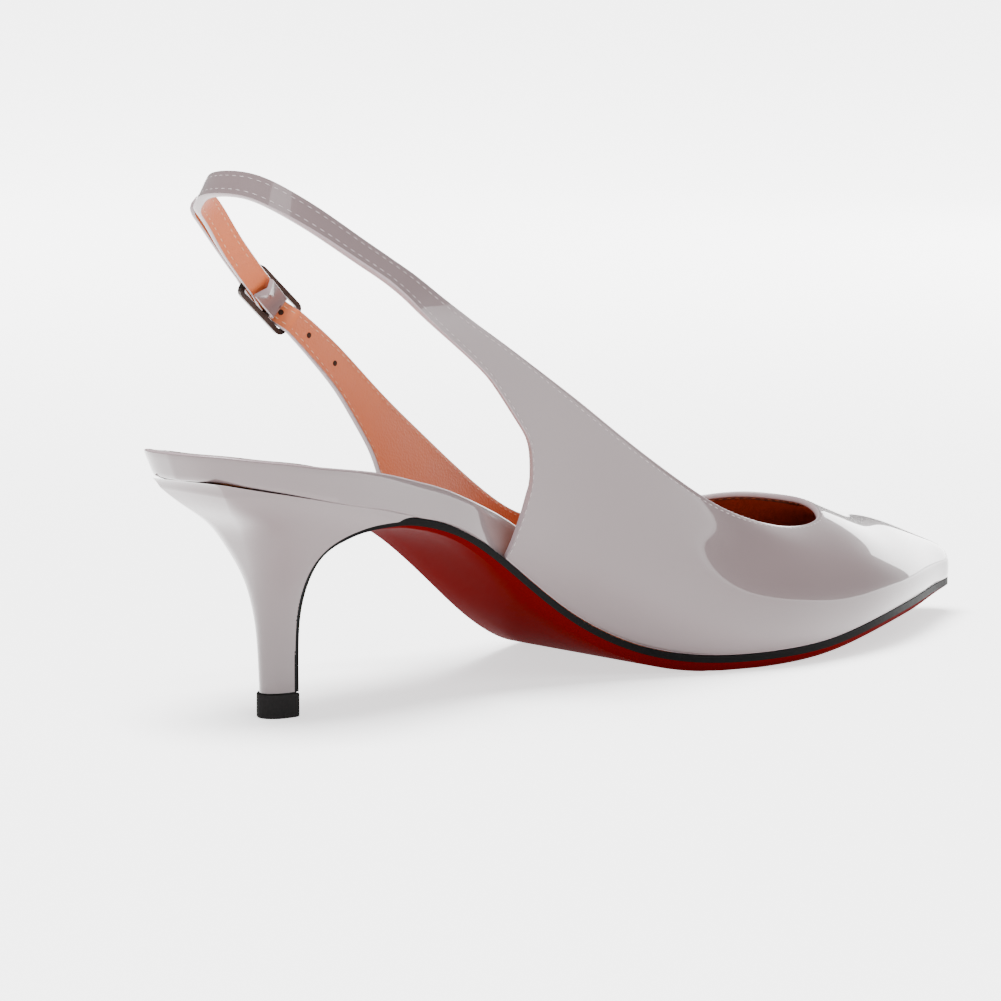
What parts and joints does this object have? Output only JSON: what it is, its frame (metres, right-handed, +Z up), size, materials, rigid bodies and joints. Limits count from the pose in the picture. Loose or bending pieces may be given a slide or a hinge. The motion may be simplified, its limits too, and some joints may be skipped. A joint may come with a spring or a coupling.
{
  "type": "slingback pump",
  "caption": "Left pointed-toe slingback pump with a slim mid-height heel, a low open waist, a buckled heel strap and a thin leather sole.",
  "frame": {"origin": "on the floor, under the middle of the flat bottom of the heel's top piece", "axes": "+X towards the toe, +Y towards the outer side of the foot, +Z up"},
  "size_m": [0.2468, 0.0777, 0.1234],
  "materials": {
    "patent": "grey-taupe patent, mirror gloss",
    "lining": "tan, smooth matt",
    "sole_leather": "red lacquer, semi-gloss, edge blacked",
    "tip_rubber": "matt black",
    "buckle_metal": "dark gunmetal, polished"
  },
  "bodies": {
    "root": {"outsole": "sole_leather", "heel": "patent", "top_piece": "tip_rubber", "insole": "lining", "seat_cover": "patent", "sock": "lining", "upper": "patent", "sling_strap": "patent", "buckle_strap": "patent", "buckle_frame": "buckle_metal", "buckle_prong": "buckle_metal"}
  },
  "joints": []
}
